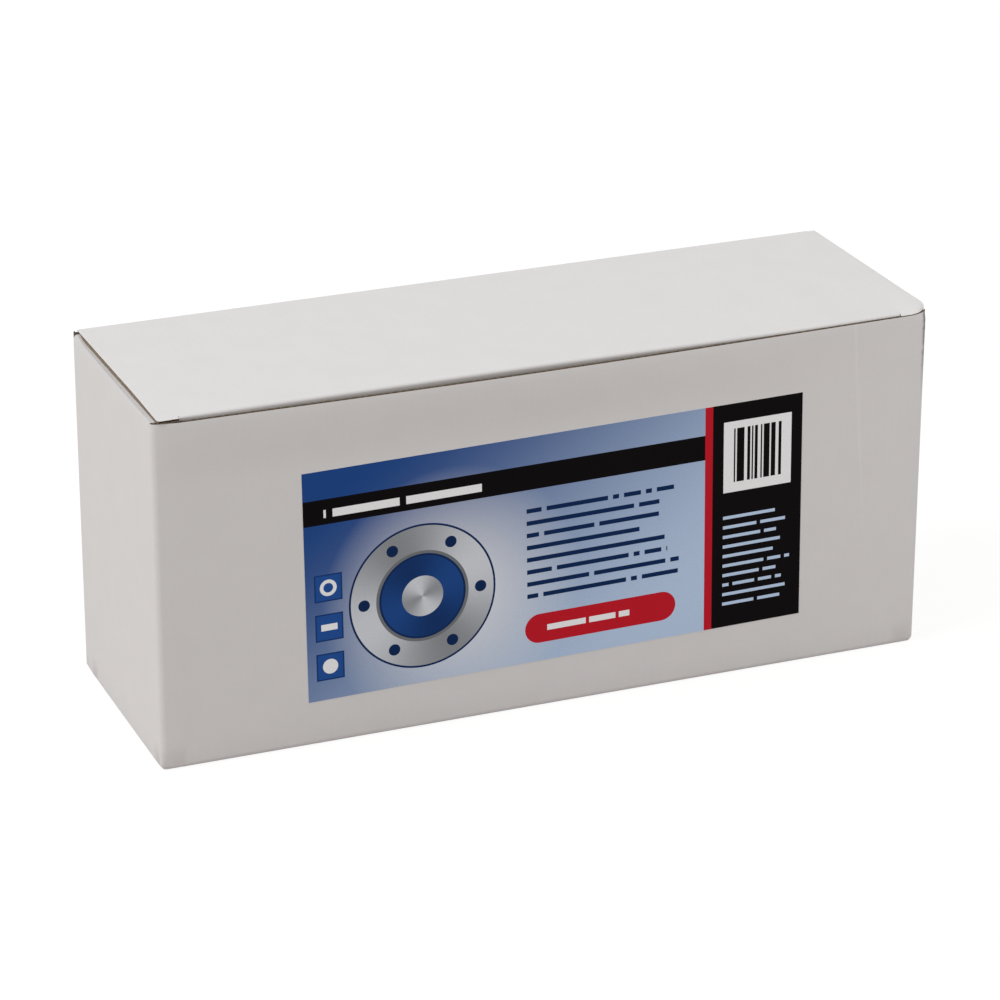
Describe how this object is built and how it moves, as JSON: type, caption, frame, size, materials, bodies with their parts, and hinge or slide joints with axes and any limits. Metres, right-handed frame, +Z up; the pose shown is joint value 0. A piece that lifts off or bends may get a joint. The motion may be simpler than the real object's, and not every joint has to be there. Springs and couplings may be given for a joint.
{
  "type": "labelled cardboard carton",
  "caption": "Long tuck-top cardboard carton: a folded fluted-board box with a hinged lid, tucked front flap, dust flaps, a snap-lock base and a printed label on its front.",
  "frame": {"origin": "on the floor, under the middle of the carton", "axes": "+X along the length, -Y out of the labelled front panel, +Z up"},
  "size_m": [0.31, 0.0982, 0.14],
  "materials": {
    "board": "matt white-lined board",
    "label_print": "satin coated paper"
  },
  "bodies": {
    "carton": {"carton_body": "board", "label": "label_print"},
    "lid": {"lid": "board"}
  },
  "joints": [
    {"name": "lid_hinge", "type": "hinge", "parent": "carton", "child": "lid", "pos_m": [0, 0.0481, 0.1391], "axis": [-1, 0, 0], "range_deg": [0, 200]}
  ]
}
